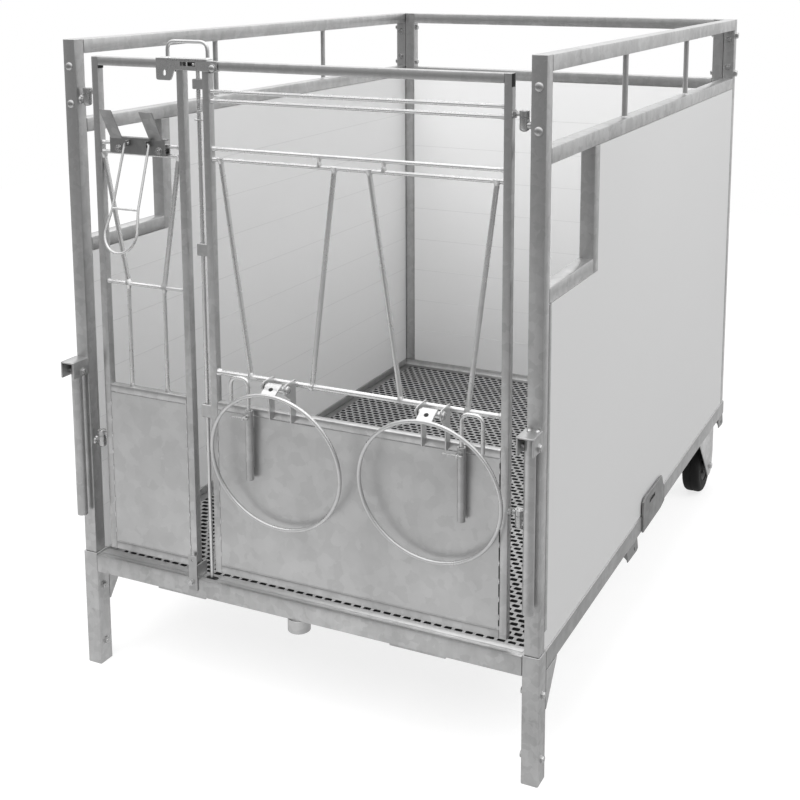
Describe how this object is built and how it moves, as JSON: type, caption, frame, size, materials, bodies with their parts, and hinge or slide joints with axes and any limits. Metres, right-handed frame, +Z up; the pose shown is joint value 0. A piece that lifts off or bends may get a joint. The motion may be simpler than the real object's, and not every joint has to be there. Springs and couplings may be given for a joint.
{
  "type": "calf pen",
  "caption": "Single calf pen with galvanised frame, plastic panels, barred front door and gate, bucket rings, legs in front and wheels at the rear.",
  "frame": {"origin": "middle of the pen's outline on the ground", "axes": "+Y from the gated front to the rear wall, +X to the right seen from the front, +Z up"},
  "size_m": [1.0672, 1.6512, 1.3765],
  "materials": {
    "galvanised": "hot-dip galvanised, dull with a faint spangle",
    "zinc": "zinc plated, satin",
    "sheet": "galvanised sheet, satin",
    "floor": "galvanised slotted sheet, dull",
    "panel": "smooth satin plastic plank",
    "tyre": "matt solid rubber",
    "hub": "moulded, matt"
  },
  "bodies": {
    "pen": {"base_frame": "galvanised", "front_socket": "galvanised", "floor_grating": "floor", "rear_frame": "galvanised", "rear_panel": "panel", "door_keeper": "galvanised", "front_leg_left": "galvanised", "leg_gussets_left": "galvanised", "leg_bolt_upper_left": "zinc", "leg_bolt_lower_left": "zinc", "wheel_fork_left": "galvanised", "wheel_axle_left": "zinc", "side_frame_left": "galvanised", "side_panel_left": "panel", "rear_bolt_upper_left": "zinc", "rear_bolt_lower_left": "zinc", "handle_bracket_left": "galvanised", "handle_bolt_left": "zinc", "front_leg_right": "galvanised", "leg_gussets_right": "galvanised", "leg_bolt_upper_right": "zinc", "leg_bolt_lower_right": "zinc", "wheel_fork_right": "galvanised", "wheel_axle_right": "zinc", "side_frame_right": "galvanised", "side_panel_right": "panel", "rear_bolt_upper_right": "zinc", "rear_bolt_lower_right": "zinc", "handle_bracket_right": "galvanised", "handle_bolt_right": "zinc", "door_pintle_lower": "zinc", "door_pintle_upper": "zinc", "gate_pintle_lower": "zinc", "gate_pintle_upper": "zinc"},
    "door": {"door_frame": "galvanised", "door_sheet": "sheet", "teat_holder": "galvanised", "teat_clamp": "zinc"},
    "teat_loop": {"teat_loop": "galvanised"},
    "gate": {"gate_frame": "galvanised", "gate_sheet": "sheet", "guide_tube_left": "galvanised", "guide_tube_right": "galvanised", "ring_bolt_left": "zinc", "ring_bolt_right": "zinc", "latch_bolt": "zinc"},
    "latch": {"latch": "galvanised"},
    "drop_rod": {"drop_rod": "zinc"},
    "ring_left": {"bucket_ring_left": "galvanised"},
    "hook_left": {"bucket_hook_left": "galvanised"},
    "clamp_left": {"clamp_screw_left": "zinc"},
    "wheel_left": {"hub_left": "hub", "tyre_left": "tyre"},
    "handle_left": {"handle_left": "galvanised"},
    "ring_right": {"bucket_ring_right": "galvanised"},
    "hook_right": {"bucket_hook_right": "galvanised"},
    "clamp_right": {"clamp_screw_right": "zinc"},
    "wheel_right": {"hub_right": "hub", "tyre_right": "tyre"},
    "handle_right": {"handle_right": "galvanised"}
  },
  "joints": [
    {"name": "door_hinge", "type": "hinge", "parent": "pen", "child": "door", "pos_m": [-0.4785, -0.7367, 0.86], "axis": [0, 0, 1], "range_deg": [0, 90]},
    {"name": "gate_hinge", "type": "hinge", "parent": "pen", "child": "gate", "pos_m": [0.4785, -0.7367, 0.86], "axis": [0, 0, 1], "range_deg": [0, 38]},
    {"name": "latch_turn", "type": "hinge", "parent": "gate", "child": "latch", "pos_m": [-0.162, -0.7487, 1.323], "axis": [0, 1, 0], "range_deg": [0, 25]},
    {"name": "drop_rod_lift", "type": "slide", "parent": "gate", "child": "drop_rod", "axis": [0, 0, 1], "range_m": [0, 0.0199]},
    {"name": "teat_loop_fold", "type": "hinge", "parent": "door", "child": "teat_loop", "pos_m": [-0.3425, -0.7567, 1.166], "axis": [-1, 0, 0], "range_deg": [0, 90]},
    {"name": "ring_left_fold", "type": "hinge", "parent": "gate", "child": "ring_left", "pos_m": [-0.0175, -0.7737, 0.707], "axis": [-1, 0, 0], "range_deg": [0, 80]},
    {"name": "hook_left_slide", "type": "slide", "parent": "gate", "child": "hook_left", "axis": [0, 0, 1], "range_m": [0, 0.1]},
    {"name": "clamp_left_turn", "type": "hinge", "parent": "gate", "child": "clamp_left", "pos_m": [-0.0898, -0.7802, 0.6365], "axis": [0, -1, 0], "range_deg": [0, 180]},
    {"name": "handle_left_fold", "type": "hinge", "parent": "pen", "child": "handle_left", "pos_m": [-0.51, -0.7717, 0.675], "axis": [1, 0, 0], "range_deg": [-90, 0]},
    {"name": "wheel_left_spin", "type": "hinge", "parent": "pen", "child": "wheel_left", "pos_m": [-0.47, 0.7383, 0.08], "axis": [1, 0, 0], "continuous": true},
    {"name": "ring_right_fold", "type": "hinge", "parent": "gate", "child": "ring_right", "pos_m": [0.3146, -0.7737, 0.707], "axis": [-1, 0, 0], "range_deg": [0, 80]},
    {"name": "hook_right_slide", "type": "slide", "parent": "gate", "child": "hook_right", "axis": [0, 0, 1], "range_m": [0, 0.1]},
    {"name": "clamp_right_turn", "type": "hinge", "parent": "gate", "child": "clamp_right", "pos_m": [0.3714, -0.7802, 0.6365], "axis": [0, -1, 0], "range_deg": [0, 180]},
    {"name": "handle_right_fold", "type": "hinge", "parent": "pen", "child": "handle_right", "pos_m": [0.51, -0.7717, 0.675], "axis": [1, 0, 0], "range_deg": [-90, 0]},
    {"name": "wheel_right_spin", "type": "hinge", "parent": "pen", "child": "wheel_right", "pos_m": [0.47, 0.7383, 0.08], "axis": [1, 0, 0], "continuous": true}
  ],
  "couplings": [
    {"joint": "drop_rod_lift", "follows": "latch_turn", "m_per_rad": 0.0455}
  ]
}
